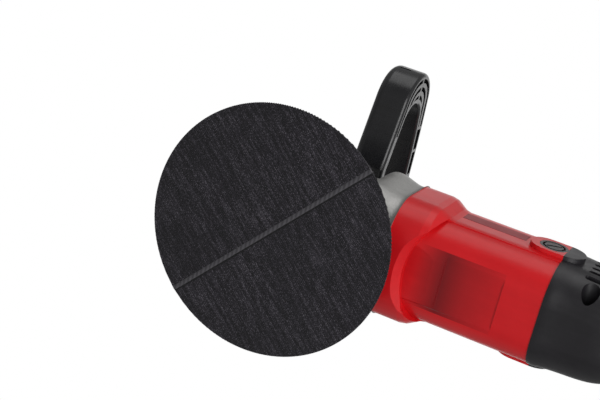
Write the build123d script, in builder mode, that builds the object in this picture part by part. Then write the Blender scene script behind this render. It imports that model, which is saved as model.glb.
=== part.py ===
"""Dual action polisher with an inline motor, a gear head, an orbiting hook-faced pad and a D-shaped handle.

Frame, in millimetres: the origin is the centre of the pad's hook face, +Z goes up from the pad into the
machine, +X runs back along the motor to the rear grip, and +Y is across.
"""
from build123d import *
from math import atan2, cos, degrees, hypot, pi, radians, sin
import os

os.makedirs("parts", exist_ok=True)

# ---------------------------------------------------------------- driving dimensions
pad_diameter = 180.0  # hook face
hook_thickness = 1.6  # hook fabric
cushion_edge = 2.2  # cushion thickness at its rim
cushion_height = 9.4  # cushion thickness at its middle
plate_diameter = 104.0  # stiff plate on top of the cushion
plate_thickness = 3.0
orbit_radius = 7.5  # pad axis to spindle axis

motor_axis_height = 65.0  # above the hook face
head_back = 77.0  # gear head's rear joint face, where the motor housing starts
motor_back = 190.0  # motor housing's rear joint face, where the rear housing starts
grip_back = 402.0  # end of the rear grip

flange_half = 44.5  # half width of the motor housing's front flange
body_half = 38.5  # half width of the motor housing's body
flange_corner = 30.0
body_corner = 26.0
flange_back = 97.0  # flange ends and the taper starts
taper_back = 113.0
housing_wall = 3.0
grip_wall = 2.6

handle_front = 10.0  # D handle's front and rear faces
handle_rear = 36.0
handle_reach = 108.0  # half length across
handle_height = 76.0  # from its seat to the top of the grip bar
handle_base = 9.5  # thickness of the base bar
handle_grip = 14.0  # thickness of the grip bar

pinion_teeth = 9
crown_teeth = 36
gear_outer = 31.0  # outer pitch radius of the crown gear
gear_face = 10.0  # width of the teeth along the crown's radius

shaft_radius = 5.0
running_gap = 0.4  # between parts that move past each other
fit_gap = 0.05  # round a shaft in its bearing

# ---------------------------------------------------------------- worked out from them
spindle_x = orbit_radius
cushion_top = hook_thickness + cushion_height
plate_top = cushion_top + plate_thickness
head_top = motor_axis_height + body_half
skirt_bottom = plate_top + 8.0
skirt_radius = 42.0
barrel_radius = 40.0
barrel_bottom = motor_axis_height - 18.0
cavity_radius = gear_outer + 4.0
crown_top = motor_axis_height + gear_outer * pinion_teeth / crown_teeth + 9.0
upper_bearing_bottom = crown_top + 1.0
upper_bearing_height = 6.0


def save(part, name):
    """Gives a finished piece its name and writes it."""
    part.label = name
    export_step(part, f"parts/{name}.step")


def across(x, z=motor_axis_height):
    """A plane across the motor axis at x, its own x along +Y and its own y along +Z."""
    return Plane(origin=(x, 0, z), x_dir=(0, 1, 0), z_dir=(1, 0, 0))


def upright(x, z, y=0.0):
    """A plane facing +Y at y, its own x along +X and its own y along +Z."""
    return Plane(origin=(x, y, z), x_dir=(1, 0, 0), z_dir=(0, -1, 0))


def spindle_plane(z):
    """A level plane at height z, centred on the output spindle."""
    return Plane(origin=(spindle_x, 0, z))


def ease(t):
    """Goes smoothly from 0 to 1."""
    return t * t * (3 - 2 * t)


def tapered(start, end, first, last, steps=4):
    """Stations (x, value) that go smoothly from first at start to last at end."""
    shares = [i / steps for i in range(steps + 1)]
    return [(start + (end - start) * s, first + (last - first) * ease(s)) for s in shares]


# ================================================================ backing pad
with BuildPart() as hook_face:
    with BuildSketch(Plane.XY):
        Circle(pad_diameter / 2)
    extrude(amount=hook_thickness)
    fillet(hook_face.edges().filter_by(GeomType.CIRCLE).sort_by(Axis.Z)[0], hook_thickness / 3)
save(hook_face.part, "hook_face")

stud_radius = 4.0
stud_head = 9.0
with BuildPart() as pad_cushion:
    with BuildSketch(Plane.XZ):
        with BuildLine():
            rim = (pad_diameter / 2 - 0.6, hook_thickness)
            rim_top = (pad_diameter / 2 - 1.4, hook_thickness + cushion_edge)
            shoulder = (plate_diameter / 2 + 3, cushion_top)
            Polyline((stud_head + 1, hook_thickness), rim, rim_top)
            Spline(rim_top, shoulder, tangents=[(-1, 0.12), (-1, 0)])
            Polyline(shoulder, (stud_head + 1, cushion_top), (stud_head + 1, hook_thickness))
        make_face()
    revolve(axis=Axis.Z)
save(pad_cushion.part, "pad_cushion")

hub_radius = 15.0
hub_top = plate_top + 5.0
plate_hole_radius = 4.0
with BuildPart() as backing_plate:
    with BuildSketch(Plane.XY.offset(cushion_top)):
        Circle(plate_diameter / 2)
    extrude(amount=plate_thickness)
    fillet(backing_plate.edges().filter_by(GeomType.CIRCLE).sort_by(Axis.Z)[-1], plate_thickness / 2)
    with BuildSketch(Plane.XY.offset(plate_top)):
        Circle(hub_radius)
        with PolarLocations(0, 8):
            with Locations(((hub_radius + plate_diameter / 2) / 2 - 2, 0)):
                Rectangle(plate_diameter / 2 - hub_radius - 6, 2.4)
    extrude(amount=1.8)
    with BuildSketch(Plane.XY.offset(plate_top)):
        Circle(hub_radius)
    extrude(amount=hub_top - plate_top)
    with BuildSketch(Plane.XY.offset(cushion_top)):
        Circle(stud_radius)
        with PolarLocations(hub_radius + 12, 8, start_angle=22.5):
            Circle(plate_hole_radius)
    extrude(amount=hub_top - cushion_top, mode=Mode.SUBTRACT)
save(backing_plate.part, "backing_plate")

pad_spindle_radius = 7.0
pad_spindle_top = skirt_bottom + 20.0
stud_top = pad_spindle_top - 5.0
with BuildPart() as pad_stud:
    with BuildSketch(Plane.XY.offset(cushion_top - 5.0)):
        RegularPolygon(stud_head - 1, 6)
    extrude(amount=5.0)
    with BuildSketch(Plane.XY.offset(cushion_top)):
        Circle(stud_radius)
    extrude(amount=stud_top - cushion_top)
save(pad_stud.part, "pad_stud")

with BuildPart() as pad_spindle:
    with BuildSketch(Plane.XY.offset(hub_top)):
        Circle(hub_radius - 3)
    extrude(amount=2.6)
    with BuildSketch(Plane.XY.offset(hub_top)):
        Circle(pad_spindle_radius)
    extrude(amount=pad_spindle_top - hub_top)
    with BuildSketch(Plane.XY.offset(hub_top)):
        Circle(stud_radius)
    extrude(amount=stud_top - hub_top, mode=Mode.SUBTRACT)
save(pad_spindle.part, "pad_spindle")

# ================================================================ spindle and eccentric
eccentric_bottom = skirt_bottom + 1.0
eccentric_top = barrel_bottom - 2.0
eccentric_radius = 23.0
bearing_outer = 16.0
bearing_height = 9.0
weight_radius = skirt_radius - 2.5 - 2.5
weight_height = 11.0
spindle_radius = 8.5
spindle_top = upper_bearing_bottom + upper_bearing_height
journal_radius = 7.0


def ball_bearing(plane, inner, outer, width):
    """A sealed bearing: two races with the shields set back between them."""
    with BuildPart() as bearing:
        with BuildSketch(plane):
            Circle(outer)
            Circle(inner, mode=Mode.SUBTRACT)
        extrude(amount=width)
        race = (outer - inner) * 0.28
        for side in (plane, plane.offset(width - 0.6)):
            with BuildSketch(side):
                Circle(outer - race)
                Circle(inner + race, mode=Mode.SUBTRACT)
            extrude(amount=0.6, mode=Mode.SUBTRACT)
    return bearing.part


bearing_inner = pad_spindle_radius + fit_gap
pad_bearing_plane = Plane.XY.offset(eccentric_bottom + 2.0)
save(ball_bearing(pad_bearing_plane, bearing_inner, bearing_outer, bearing_height), "eccentric_bearing")

with BuildPart() as eccentric:
    with BuildSketch(Plane.XY.offset(eccentric_bottom)):
        Circle(eccentric_radius)
    extrude(amount=eccentric_top - eccentric_bottom - 5.0)
    with BuildSketch(spindle_plane(eccentric_top - 5.0)):
        Circle(eccentric_radius + 3)
    extrude(amount=5.0)
    with BuildSketch(Plane.XY.offset(eccentric_bottom)):
        Circle(bearing_outer)
    extrude(amount=2.0 + bearing_height, mode=Mode.SUBTRACT)
    with BuildSketch(Plane.XY.offset(eccentric_bottom)):
        Circle(bearing_outer - 3)
    extrude(amount=pad_spindle_top - eccentric_bottom + 1.0, mode=Mode.SUBTRACT)
save(eccentric.part, "eccentric")

with BuildPart() as bearing_clip:
    with BuildSketch(Plane.XY.offset(eccentric_bottom + 0.5)):
        Circle(bearing_outer)
        Circle(bearing_outer - 2.5, mode=Mode.SUBTRACT)
        with Locations((-bearing_outer + 1, 0)):
            Rectangle(6, 7, mode=Mode.SUBTRACT)
    extrude(amount=1.5)
save(bearing_clip.part, "bearing_clip")

with BuildPart() as counterweight:
    with BuildSketch(spindle_plane(eccentric_bottom)):
        Circle(weight_radius)
        with Locations((-weight_radius / 2 - 2, 0)):
            Rectangle(weight_radius + 4, 2 * weight_radius + 2, mode=Mode.SUBTRACT)
        with Locations((-spindle_x, 0)):
            Circle(eccentric_radius, mode=Mode.SUBTRACT)
    extrude(amount=weight_height)
save(counterweight.part, "counterweight")

with BuildPart() as output_spindle:
    with BuildSketch(spindle_plane(eccentric_top)):
        Circle(spindle_radius + 2)
    extrude(amount=1.5)
    with BuildSketch(spindle_plane(eccentric_top)):
        Circle(spindle_radius)
    extrude(amount=spindle_top - eccentric_top)
    with BuildSketch(spindle_plane(crown_top)):
        Circle(spindle_radius)
        Circle(journal_radius, mode=Mode.SUBTRACT)
    extrude(amount=spindle_top - crown_top, mode=Mode.SUBTRACT)
save(output_spindle.part, "output_spindle")

# ================================================================ bevel gears
# Both gears taper towards one apex, where the motor axis crosses the spindle axis.
ratio = crown_teeth / pinion_teeth
gear_inner = gear_outer - gear_face
pinion_outer = gear_outer / ratio
module = 2 * pinion_outer / pinion_teeth
circular_pitch = pi * module
tooth_half = 0.175 * circular_pitch
flank = 0.36
crown_addendum = 0.7 * module
crown_dedendum = 1.25 * module
pinion_addendum = 1.0 * module
pinion_dedendum = 1.0 * module
cone_height = gear_outer / ratio


def tooth(distance, tip, root):
    """Corners (across, outward) of one tooth at that distance from the apex, pitch line at zero."""
    share = distance / gear_outer
    sides = [(tooth_half - flank * tip, tip), (tooth_half + flank * root, -root)]
    right = [(a * share, b * share) for a, b in sides]
    return right + [(-a, b) for a, b in reversed(right)]


crown_bore = spindle_radius
with BuildPart() as crown_gear:
    root_inner = motor_axis_height + (cone_height + crown_dedendum) * gear_inner / gear_outer
    root_outer = motor_axis_height + cone_height + crown_dedendum
    with BuildSketch(Plane.XZ):
        with BuildLine():
            Polyline(
                (spindle_x + crown_bore, crown_top),
                (spindle_x + crown_bore, root_inner - 1.5),
                (spindle_x + crown_bore + 4, root_inner - 1.5),
                (spindle_x + gear_inner, root_inner),
                (spindle_x + gear_outer, root_outer),
                (spindle_x + gear_outer, crown_top - 2),
                (spindle_x + gear_outer - 2, crown_top),
                close=True,
            )
        make_face()
    revolve(axis=Axis((spindle_x, 0, 0), (0, 0, 1)))
    for i in range(crown_teeth):
        turn = (i + 0.5) * 360 / crown_teeth
        for distance in (gear_inner, gear_outer):
            out = (cos(radians(turn)), sin(radians(turn)))
            middle = (spindle_x + out[0] * distance, out[1] * distance)
            height = motor_axis_height + cone_height * distance / gear_outer
            plane = Plane(origin=(*middle, height), x_dir=(-out[1], out[0], 0), z_dir=(*out, 0))
            with BuildSketch(plane):
                with BuildLine():
                    corners = [(a, -b) for a, b in tooth(distance, crown_addendum, crown_dedendum * 1.2)]
                    Polyline(*corners, close=True)
                make_face()
        loft()
save(crown_gear.part, "crown_gear")

pinion_back = spindle_x + gear_outer + 4.0
with BuildPart() as pinion:
    root_share = (pinion_outer - pinion_dedendum) / gear_outer
    with BuildSketch(Plane.XZ):
        with BuildLine():
            Polyline(
                (spindle_x + gear_inner, motor_axis_height),
                (spindle_x + gear_inner, motor_axis_height + root_share * gear_inner),
                (spindle_x + gear_outer, motor_axis_height + root_share * gear_outer),
                (pinion_back, motor_axis_height + root_share * gear_outer),
                (pinion_back, motor_axis_height),
                close=True,
            )
        make_face()
    revolve(axis=Axis((0, 0, motor_axis_height), (1, 0, 0)))
    for i in range(pinion_teeth):
        turn = radians(i * 360 / pinion_teeth)
        for distance in (gear_inner, gear_outer):
            share = distance / gear_outer
            with BuildSketch(across(spindle_x + distance)):
                with BuildLine():
                    corners = []
                    for a, b in tooth(distance, pinion_addendum, pinion_dedendum * 1.1):
                        reach = pinion_outer * share + b
                        corners.append((a * cos(turn) + reach * sin(turn), reach * cos(turn) - a * sin(turn)))
                    Polyline(*corners, close=True)
                make_face()
        loft()
    with BuildSketch(across(spindle_x + gear_inner)):
        Circle(shaft_radius / 2)
    extrude(amount=pinion_back - spindle_x - gear_inner, mode=Mode.SUBTRACT)
save(pinion.part, "pinion")

# ================================================================ gear head
spindle_bearing_outer = 15.0
lower_bearing_bottom = barrel_bottom + 1.5
lower_bearing_height = 10.0
upper_bearing_outer = 11.0
flange_start = 48.0
flange_bulge = 46.6
flange_bolt = flange_half - 13.5
flange_bolt_radius = 2.5
nose_bearing_outer = 13.0
nose_bearing_back = head_back - 15.0
nose_bearing_width = 9.0
fan_chamber_radius = 36.5
retainer_height = 4.0

skirt_wall = 2.5
skirt_screws = 4
skirt_screw_circle = barrel_radius - 5.0
skirt_screw_radius = 2.0

with BuildPart() as gear_head:
    with BuildSketch(spindle_plane(barrel_bottom)):
        Circle(barrel_radius)
    extrude(amount=head_top - barrel_bottom)
    fillet(gear_head.edges().filter_by(GeomType.CIRCLE).sort_by(Axis.Z)[-1], 9.0)
    for x, half in tapered(spindle_x + 14, flange_start + 1, barrel_radius - 3, barrel_radius - 1.5):
        with BuildSketch(across(x)):
            RectangleRounded(2 * half, 2 * (body_half - 0.5), body_corner - 2)
    loft()
    for x, half in ((flange_start, flange_bulge - 2.5), (flange_start + 2, flange_bulge - 0.6),
                    (flange_start + 10, flange_bulge), (head_back, flange_half + 0.6)):
        with BuildSketch(across(x)):
            RectangleRounded(2 * half, 2 * half, flange_corner)
    loft()
    # raised seat for the handle
    with BuildSketch(Plane.XY.offset(head_top - 4)):
        with Locations(((handle_front + handle_rear) / 2, 0)):
            RectangleRounded(handle_rear - handle_front, 56, 6)
    extrude(amount=4)
    # room for the skirt below the barrel
    with BuildSketch(spindle_plane(0)):
        Circle(skirt_radius)
    extrude(amount=barrel_bottom, mode=Mode.SUBTRACT)
    # gear chamber, and the bearing seats above and below it
    with BuildSketch(spindle_plane(barrel_bottom + 14)):
        Circle(cavity_radius)
    extrude(amount=upper_bearing_bottom - barrel_bottom - 14, mode=Mode.SUBTRACT)
    with BuildSketch(spindle_plane(barrel_bottom)):
        Circle(spindle_bearing_outer)
    extrude(amount=16, mode=Mode.SUBTRACT)
    with BuildSketch(spindle_plane(barrel_bottom)):
        Circle(eccentric_radius + 6)
    extrude(amount=1.5, mode=Mode.SUBTRACT)
    with BuildSketch(spindle_plane(upper_bearing_bottom)):
        Circle(upper_bearing_outer)
    extrude(amount=upper_bearing_height + 0.5, mode=Mode.SUBTRACT)
    # nose of the motor: pinion bore, bearing seat and fan chamber
    with BuildSketch(across(spindle_x + 20)):
        Circle(nose_bearing_outer - 2)
    extrude(amount=head_back - spindle_x - 20, mode=Mode.SUBTRACT)
    with BuildSketch(across(nose_bearing_back - nose_bearing_width)):
        Circle(nose_bearing_outer)
    extrude(amount=nose_bearing_width + 20, mode=Mode.SUBTRACT)
    with BuildSketch(across(nose_bearing_back + 2)):
        Circle(fan_chamber_radius)
    extrude(amount=head_back - nose_bearing_back, mode=Mode.SUBTRACT)
    # bolts: four for the skirt, four into the flange, two for the handle
    with BuildSketch(spindle_plane(barrel_bottom)):
        with PolarLocations(skirt_screw_circle, skirt_screws, start_angle=45):
            Circle(skirt_screw_radius)
    extrude(amount=9, mode=Mode.SUBTRACT)
    with BuildSketch(across(head_back)):
        with GridLocations(2 * flange_bolt, 2 * flange_bolt, 2, 2):
            Circle(flange_bolt_radius)
    extrude(amount=-16, mode=Mode.SUBTRACT)
    with BuildSketch(Plane.XY.offset(head_top)):
        with Locations(((handle_front + handle_rear) / 2, 0)):
            with GridLocations(0, 32, 1, 2):
                Circle(3.4)
    extrude(amount=-7.0, mode=Mode.SUBTRACT)
    # exhaust slots in the top of the flange
    with BuildSketch(Plane.XY.offset(motor_axis_height + fan_chamber_radius - 4)):
        with Locations((nose_bearing_back + 8, 0)):
            with GridLocations(0, 9, 1, 5):
                SlotOverall(11, 4)
    extrude(amount=20, mode=Mode.SUBTRACT)
save(gear_head.part, "gear_head")

# skirt that guards the counterweight
with BuildPart() as skirt:
    with BuildSketch(spindle_plane(skirt_bottom)):
        Circle(skirt_radius - running_gap / 4)
        Circle(skirt_radius - skirt_wall, mode=Mode.SUBTRACT)
    extrude(amount=barrel_bottom - skirt_bottom)
    with BuildSketch(spindle_plane(barrel_bottom - 3.0)):
        Circle(skirt_radius - skirt_wall)
        Circle(eccentric_radius + 6, mode=Mode.SUBTRACT)
        with PolarLocations(skirt_screw_circle, skirt_screws, start_angle=45):
            Circle(skirt_screw_radius, mode=Mode.SUBTRACT)
    extrude(amount=3.0)
    # air slots round the front
    for turn in range(120, 241, 20):
        out = (cos(radians(turn)), sin(radians(turn)))
        middle = (skirt_bottom + barrel_bottom) / 2 - 1
        with BuildSketch(Plane(origin=(spindle_x, 0, middle), x_dir=(0, 0, 1), z_dir=(*out, 0))):
            SlotOverall(14, 4)
        extrude(amount=skirt_radius + 5, mode=Mode.SUBTRACT)
save(skirt.part, "skirt")

with BuildPart() as skirt_screws_part:
    with BuildSketch(spindle_plane(barrel_bottom - 3.0 - 2.6)):
        with PolarLocations(skirt_screw_circle, skirt_screws, start_angle=45):
            Circle(3.5)
    extrude(amount=2.6)
    with BuildSketch(spindle_plane(barrel_bottom - 3.0)):
        with PolarLocations(skirt_screw_circle, skirt_screws, start_angle=45):
            Circle(skirt_screw_radius)
    extrude(amount=11.0)
save(skirt_screws_part.part, "skirt_screws")

lower_bearing_plane = spindle_plane(lower_bearing_bottom)
save(
    ball_bearing(lower_bearing_plane, spindle_radius + fit_gap, spindle_bearing_outer, lower_bearing_height),
    "spindle_bearing_lower",
)

upper_bearing_plane = spindle_plane(upper_bearing_bottom)
save(
    ball_bearing(upper_bearing_plane, journal_radius + fit_gap, upper_bearing_outer, upper_bearing_height),
    "spindle_bearing_upper",
)

nose_bearing_plane = across(nose_bearing_back - nose_bearing_width)
save(
    ball_bearing(nose_bearing_plane, shaft_radius + fit_gap, nose_bearing_outer, nose_bearing_width),
    "armature_bearing_front",
)

# ================================================================ D handle
# The outline of one half, across and up from the handle's seat; the loop is the same on both sides.
base_flat = 38.0
base_end = (handle_reach - 20.0, 15.0)
nose_middle = handle_height / 2 + 3.5
grip_end = (handle_reach - 25.0, handle_height - 7.0)
opening_reach = handle_reach - 24.0
handle_seat = head_top
handle_bolt_spacing = 32.0
handle_bolt_radius = 3.4
handle_rib_depth = 17.0
handle_skin = 4.0
handle_slot = 3.2  # width of the slots round the ends, and of the walls between them
handle_round_front = 6.0
handle_round_rear = 3.0
end_start = 60.0  # the slots round the ends start this far out


def handle_plane(x):
    """A plane across the handle at x, its own y measured up from the handle's seat."""
    return across(x, handle_seat)


def loop_outline(inset):
    """Draws one half of the handle's outer outline, drawn in by inset, closed down the middle."""
    reach = handle_reach - inset
    start = (0, inset)
    knee = (base_flat, inset)
    foot = (base_end[0], base_end[1] + inset)
    brow = (grip_end[0], grip_end[1] - inset)
    crown = (0, handle_height - inset)
    Polyline(start, knee, foot)
    ThreePointArc(foot, (reach, nose_middle), brow)
    ThreePointArc(brow, (grip_end[0] / 2, handle_height - inset - 1.6), crown)
    Line(crown, start)


def opening_outline(grow):
    """Draws one half of the finger opening's outline, grown by grow, closed down the middle."""
    start = (0, handle_base - grow)
    knee = (base_flat - 2, handle_base - grow)
    foot = (opening_reach - 12, base_end[1] + 6 - grow)
    brow = (opening_reach - 14, grip_end[1] - handle_grip - 0.5 + grow)
    crown = (0, handle_height - handle_grip + grow)
    Polyline(start, knee, foot)
    ThreePointArc(foot, (opening_reach + grow, nose_middle), brow)
    ThreePointArc(brow, (brow[0] / 2, handle_height - handle_grip - 1.2 + grow), crown)
    Line(crown, start)


with BuildPart() as d_handle:
    with BuildSketch(handle_plane(handle_front)):
        with BuildLine():
            loop_outline(0)
        make_face()
        with BuildLine():
            opening_outline(0)
        make_face(mode=Mode.SUBTRACT)
        mirror(about=Plane.YZ)
    extrude(amount=handle_rear - handle_front)
    # rounded all along: most at the front, where the palm lies, least round the opening
    fillet(d_handle.faces().sort_by(Axis.X)[0].inner_wires()[0].edges(), 3.0)
    fillet(d_handle.faces().sort_by(Axis.X)[0].outer_wire().edges(), handle_round_front)
    fillet(d_handle.faces().sort_by(Axis.X)[-1].inner_wires()[0].edges(), 2.0)
    fillet(d_handle.faces().sort_by(Axis.X)[-1].outer_wire().edges(), handle_round_rear)
    # the rear face of the grip bar is cored, with ribs left across the core
    with BuildSketch(handle_plane(handle_rear - handle_rib_depth)):
        with BuildLine():
            loop_outline(handle_skin)
        make_face()
        with BuildLine():
            opening_outline(handle_skin)
        make_face(mode=Mode.SUBTRACT)
        with Locations((handle_reach / 2, handle_base / 2 + 4)):
            Rectangle(handle_reach + 10, 40, mode=Mode.SUBTRACT)
        with Locations((end_start + 40, nose_middle)):
            Rectangle(80, 2 * handle_height, mode=Mode.SUBTRACT)
        for y in (0, 21, 42):
            with Locations((y, handle_height - handle_grip / 2)):
                Rectangle(2.4, 2 * handle_grip, mode=Mode.SUBTRACT)
        mirror(about=Plane.YZ)
    extrude(amount=handle_rib_depth, mode=Mode.SUBTRACT)
    # three slots, one inside the next, round each end, with a rib across their middle
    for inset in (handle_skin, handle_skin + 2 * handle_slot, handle_skin + 4 * handle_slot):
        with BuildSketch(handle_plane(handle_rear - handle_rib_depth)):
            with BuildLine():
                loop_outline(inset)
            make_face()
            with BuildLine():
                loop_outline(inset + handle_slot)
            make_face(mode=Mode.SUBTRACT)
            with BuildLine():
                opening_outline(handle_skin)
            make_face(mode=Mode.SUBTRACT)
            with Locations((0, nose_middle)):
                Rectangle(2 * (end_start + 2.4), 2 * handle_height, mode=Mode.SUBTRACT)
            with Locations((handle_reach, nose_middle)):
                Rectangle(80, 2.4, mode=Mode.SUBTRACT)
            mirror(about=Plane.YZ)
        extrude(amount=handle_rib_depth, mode=Mode.SUBTRACT)
    # a slit through the skin at the tip of each end
    for side in (-1, 1):
        with BuildSketch(Plane.XZ.offset(-side * (handle_reach - 2.5))):
            with Locations((handle_front + 11, handle_seat + nose_middle - 3)):
                SlotOverall(9, 2.2)
        extrude(amount=-side * 10, mode=Mode.SUBTRACT)
    with BuildSketch(Plane.XY.offset(handle_seat)):
        with Locations(((handle_front + handle_rear) / 2, 0)):
            with GridLocations(0, handle_bolt_spacing, 1, 2):
                Circle(handle_bolt_radius + 0.3)
    extrude(amount=handle_base, mode=Mode.SUBTRACT)
save(d_handle.part, "d_handle")

with BuildPart() as handle_bolts:
    with BuildSketch(Plane.XY.offset(handle_seat + handle_base)):
        with Locations(((handle_front + handle_rear) / 2, 0)):
            with GridLocations(0, handle_bolt_spacing, 1, 2):
                Circle(6.5)
    extrude(amount=4.0)
    fillet(handle_bolts.edges().group_by(Axis.Z)[-1], 0.8)
    with BuildSketch(Plane.XY.offset(handle_seat + handle_base + 1.6)):
        with Locations(((handle_front + handle_rear) / 2, 0)):
            with GridLocations(0, handle_bolt_spacing, 1, 2):
                RegularPolygon(3.0, 6)
    extrude(amount=2.4, mode=Mode.SUBTRACT)
    with BuildSketch(Plane.XY.offset(handle_seat - 6.5)):
        with Locations(((handle_front + handle_rear) / 2, 0)):
            with GridLocations(0, handle_bolt_spacing, 1, 2):
                Circle(handle_bolt_radius)
    extrude(amount=handle_base + 6.5)
save(handle_bolts.part, "handle_bolts")

# ================================================================ motor housing
brush_x = motor_back - 10.0
boss_radius = 13.0
boss_front = motor_back - 26.5
boss_proud = 3.2
cap_radius = 10.0
cap_depth = 4.5
label_front = taper_back + 6.5
label_length = 42.5
label_half = 27.0
label_depth = 1.5
scoop_depth = 2.1
arch_middle = flange_back - 5.0
arch_end = (taper_back - 4.0, 40.0)
step_depth = 0.6
step_height = motor_axis_height - 17.4
bottom_face = motor_axis_height - body_half
corner_boss_radius = 5.5
corner_boss_length = 5.0
mouth_length = 9.0
strip_front = taper_back + 0.5
strip_length = 47.0
strip_height = 13.0
strip_depth = 0.5


def boss_outline():
    """The stadium round the brush cap and its tail, drawn on a plane facing across."""
    with Locations(((boss_front + motor_back) / 2 + boss_radius / 2, motor_axis_height)):
        SlotOverall(motor_back + boss_radius - boss_front, 2 * boss_radius)


# what the arch takes from the flange's lower corners, down to the body's own section
with BuildPart() as corner_relief:
    with BuildSketch(Plane.XY.offset(bottom_face)):
        with BuildLine():
            ThreePointArc((arch_end[0], -arch_end[1]), (arch_middle, 0), arch_end)
            Polyline(arch_end, (arch_end[0], 60), (taper_back + 3, 60), (taper_back + 3, -60), (arch_end[0], -60),
                     (arch_end[0], -arch_end[1]))
        make_face()
    extrude(amount=step_height - bottom_face)
    with BuildSketch(across(head_back)):
        half = body_half - step_depth
        RectangleRounded(2 * half, 2 * half, body_corner - step_depth)
    extrude(amount=2 * (taper_back - head_back), mode=Mode.SUBTRACT)

# the scoop behind the arch: deepest at the arch, running out at the label recess
with BuildPart() as scoop:
    with BuildSketch(Plane.XY.offset(bottom_face - 1)):
        with BuildLine():
            ThreePointArc((arch_middle + 7.5, -29), (arch_middle + 0.5, 0), (arch_middle + 7.5, 29))
            Polyline((arch_middle + 7.5, 29), (label_front, label_half), (label_front, -label_half),
                     (arch_middle + 7.5, -29))
        make_face()
    extrude(amount=1 + scoop_depth)
    with BuildSketch(Plane.XZ.offset(-36)):
        with BuildLine():
            Polyline((flange_back - 6, bottom_face - 2), (flange_back - 6, bottom_face + scoop_depth),
                     (label_front, bottom_face), (label_front, bottom_face - 2), close=True)
        make_face()
    extrude(amount=72, mode=Mode.INTERSECT)

with BuildPart() as motor_housing:
    shell = [(head_back, flange_half), (flange_back, flange_half)]
    shell += tapered(flange_back + 1, taper_back, flange_half, body_half)[1:] + [(motor_back, body_half)]
    for (x0, half0), (x1, half1) in zip(shell, shell[1:]):
        for x, half in ((x0, half0), (x1, half1)):
            share = (half - body_half) / (flange_half - body_half)
            with BuildSketch(across(x)):
                RectangleRounded(2 * half, 2 * half, body_corner + (flange_corner - body_corner) * share)
        loft(ruled=True)
    # hollow: one bore right through, and a wider mouth round the fan
    for half, corner, length in (
        (body_half - housing_wall, body_corner - housing_wall, motor_back - head_back),
        (flange_half - housing_wall, flange_corner - housing_wall, mouth_length),
    ):
        with BuildSketch(across(head_back)):
            RectangleRounded(2 * half, 2 * half, corner)
        extrude(amount=length, mode=Mode.SUBTRACT)
    # bosses for the bolts into the gear head
    with BuildSketch(across(head_back)):
        with GridLocations(2 * flange_bolt, 2 * flange_bolt, 2, 2):
            Circle(corner_boss_radius)
    extrude(amount=corner_boss_length)
    with BuildSketch(across(head_back)):
        with GridLocations(2 * flange_bolt, 2 * flange_bolt, 2, 2):
            Circle(flange_bolt_radius)
    extrude(amount=corner_boss_length, mode=Mode.SUBTRACT)
    # raised brush bosses, each with a seat for its cap and a way in for the brush
    for side in (-1, 1):
        with BuildSketch(Plane.XZ.offset(-side * (body_half - housing_wall))):
            boss_outline()
            with Locations((motor_back + 20, motor_axis_height)):
                Rectangle(40, 60, mode=Mode.SUBTRACT)
        extrude(amount=-side * (housing_wall + boss_proud))
        with BuildSketch(Plane.XZ.offset(-side * (body_half + boss_proud))):
            with Locations((brush_x, motor_axis_height)):
                Circle(cap_radius + 0.2)
        extrude(amount=side * cap_depth, mode=Mode.SUBTRACT)
        with BuildSketch(Plane.XZ.offset(-side * (body_half + boss_proud))):
            with Locations((brush_x, motor_axis_height)):
                Rectangle(11.4, 16.4)
        extrude(amount=side * 12, mode=Mode.SUBTRACT)
    # the broad bottom is set back a little from the sides
    with BuildSketch(across(taper_back)):
        RectangleRounded(2 * body_half + 6, 2 * body_half + 6, body_corner)
        RectangleRounded(2 * (body_half - step_depth), 2 * (body_half - step_depth), body_corner - step_depth,
                         mode=Mode.SUBTRACT)
        with Locations((0, step_height - motor_axis_height + 50)):
            Rectangle(4 * body_half, 100, mode=Mode.SUBTRACT)
    extrude(amount=motor_back - taper_back, mode=Mode.SUBTRACT)
    # arched relief under the flange, then the shallow scoop and the label recess behind it
    with BuildSketch(Plane.XY.offset(bottom_face)):
        with BuildLine():
            ThreePointArc((arch_end[0], -arch_end[1]), (arch_middle, 0), arch_end)
            Polyline(arch_end, (taper_back + 3, arch_end[1]), (taper_back + 3, -arch_end[1]), (arch_end[0], -arch_end[1]))
        make_face()
    extrude(amount=-9, taper=-38, mode=Mode.SUBTRACT)
    add(corner_relief.part, mode=Mode.SUBTRACT)
    add(scoop.part, mode=Mode.SUBTRACT)
    with BuildSketch(Plane.XY.offset(bottom_face + label_depth)):
        with Locations((label_front + label_length / 2, 0)):
            Rectangle(label_length, 2 * label_half)
    extrude(amount=-9, mode=Mode.SUBTRACT)
    # seats for the side strips
    for side in (-1, 1):
        with BuildSketch(Plane.XZ.offset(-side * (body_half - strip_depth))):
            with Locations((strip_front + strip_length / 2, motor_axis_height + strip_height / 2 - 1)):
                Rectangle(strip_length, strip_height)
        extrude(amount=-side * 12, mode=Mode.SUBTRACT)
save(motor_housing.part, "motor_housing")

with BuildPart() as side_strips:
    for side in (-1, 1):
        with BuildSketch(Plane.XZ.offset(-side * (body_half - strip_depth))):
            with Locations((strip_front + strip_length / 2, motor_axis_height + strip_height / 2 - 1)):
                Rectangle(strip_length - 0.4, strip_height - 0.4)
        extrude(amount=-side * (strip_depth + 0.1))
save(side_strips.part, "side_strips")

with BuildPart() as head_bolts:
    with BuildSketch(across(head_back + corner_boss_length)):
        with GridLocations(2 * flange_bolt, 2 * flange_bolt, 2, 2):
            Circle(flange_bolt_radius + 1.0)
    extrude(amount=3.0)
    with BuildSketch(across(head_back - 14)):
        with GridLocations(2 * flange_bolt, 2 * flange_bolt, 2, 2):
            Circle(flange_bolt_radius)
    extrude(amount=14 + corner_boss_length)
save(head_bolts.part, "head_bolts")

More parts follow.
